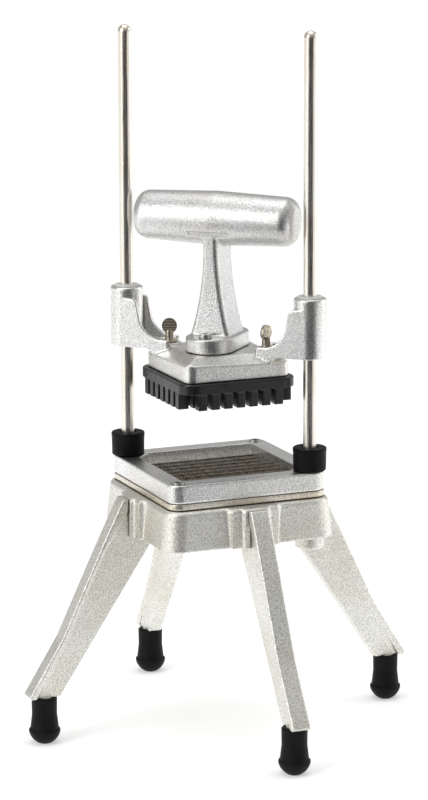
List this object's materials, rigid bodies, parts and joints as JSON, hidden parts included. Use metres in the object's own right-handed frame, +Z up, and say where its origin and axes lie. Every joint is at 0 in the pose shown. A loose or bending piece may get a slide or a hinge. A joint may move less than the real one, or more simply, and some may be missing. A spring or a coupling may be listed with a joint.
{
  "type": "vegetable dicer",
  "caption": "Hand-operated vegetable dicer: a T-handled head slides down two guide rods and presses a block of square fingers through a crossed blade grid on four legs.",
  "frame": {"origin": "on the floor plane under the centre of the blade grid", "axes": "+Z up along the guide rods; the square castings' sides and the legs lie along X and Y, with the front leg on -Y; the rods and the handle bar lie on the diagonal from -X +Y to +X -Y"},
  "size_m": [0.292, 0.292, 0.497],
  "materials": {
    "cast_aluminium": "blasted sand-cast surface, pale satin grey",
    "plate_aluminium": "cast, faintly warm grey",
    "rod_steel": "ground and polished",
    "blade_steel": "bright strip with a honed edge",
    "zinc_steel": "bright zinc",
    "thumb_steel": "dull nickel with a warm tint",
    "brass": "turned",
    "black_rubber": "moulded, matt",
    "black_plastic": "moulded, satin",
    "white_nylon": "turned, satin"
  },
  "bodies": {
    "base": {"guide_rod_left": "rod_steel", "guide_rod_right": "rod_steel", "rod_nuts": "zinc_steel", "rod_washers": "zinc_steel", "bumper_left": "black_rubber", "bumper_right": "black_rubber", "leg_front": "cast_aluminium", "leg_right": "cast_aluminium", "leg_rear": "cast_aluminium", "leg_left": "cast_aluminium", "foot_front": "black_rubber", "foot_right": "black_rubber", "foot_rear": "black_rubber", "foot_left": "black_rubber", "leg_bolts": "zinc_steel", "leg_lock_washers": "zinc_steel", "base_casting": "cast_aluminium", "blade_frame": "cast_aluminium", "blade_frame_plate": "plate_aluminium", "blade_frame_screws": "zinc_steel", "blades_across": "blade_steel", "blades_along": "blade_steel", "blade_pins": "blade_steel"},
    "head": {"head_casting": "cast_aluminium", "handle": "cast_aluminium", "handle_screws": "zinc_steel", "upper_bushing_left": "white_nylon", "upper_bushing_right": "white_nylon", "lower_bushing_left": "white_nylon", "lower_bushing_right": "white_nylon", "pusher_block": "black_plastic", "pusher_inserts": "brass"},
    "thumb_left": {"thumb_screw_left": "thumb_steel"},
    "thumb_right": {"thumb_screw_right": "thumb_steel"}
  },
  "joints": [
    {"name": "head_slide", "type": "slide", "parent": "base", "child": "head", "axis": [0, 0, 1], "range_m": [-0.0635, 0.178]},
    {"name": "thumb_turn_left", "type": "hinge", "parent": "head", "child": "thumb_left", "pos_m": [-0.02588, 0.02588, 0.2744], "axis": [0, 0, 1], "continuous": true},
    {"name": "thumb_turn_right", "type": "hinge", "parent": "head", "child": "thumb_right", "pos_m": [0.02588, -0.02588, 0.2744], "axis": [0, 0, 1], "continuous": true}
  ]
}
